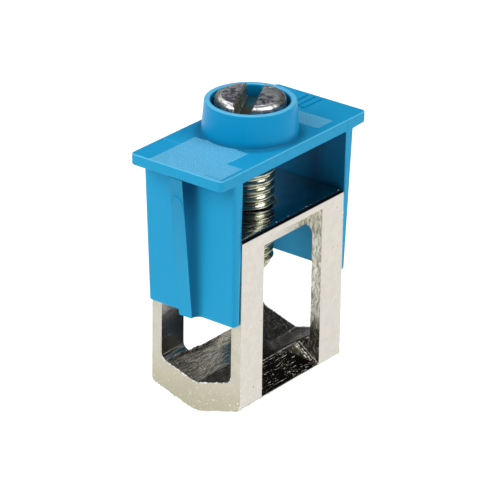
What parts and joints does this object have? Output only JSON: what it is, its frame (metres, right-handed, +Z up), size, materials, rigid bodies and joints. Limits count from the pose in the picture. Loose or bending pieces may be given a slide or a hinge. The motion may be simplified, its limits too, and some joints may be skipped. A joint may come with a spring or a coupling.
{
  "type": "feed-through terminal block",
  "caption": "Feed-through terminal clamp: a plated ring frame with a V-shaped floor and side windows, a slotted clamping screw and a blue moulded cover with a round collar.",
  "frame": {"origin": "middle of the frame's foot, on the axis of the screw", "axes": "+Z up along the screw, X along the conductor tunnel and the long side of the cover, Y through the two windows of the frame"},
  "size_m": [0.0272, 0.0132, 0.0362],
  "materials": {
    "plated_frame": "warm bright tin or nickel plating with sawn end faces",
    "plated_screw": "bright zinc plating",
    "blue_moulding": "satin moulded thermoplastic"
  },
  "bodies": {
    "frame": {"clamp_frame": "plated_frame"},
    "cover": {"insulating_cover": "blue_moulding"},
    "screw": {"clamp_screw": "plated_screw"}
  },
  "joints": [
    {"name": "cover_slide", "type": "slide", "parent": "frame", "child": "cover", "axis": [0, 0, -1], "range_m": [-0.003, 0.0068]},
    {"name": "screw_turn", "type": "hinge", "parent": "cover", "child": "screw", "pos_m": [0, 0, 0.03225], "axis": [0, 0, -1], "range_deg": [-1081, 2449]}
  ],
  "couplings": [
    {"joint": "screw_turn", "follows": "cover_slide", "rad_per_m": 6283.2}
  ]
}
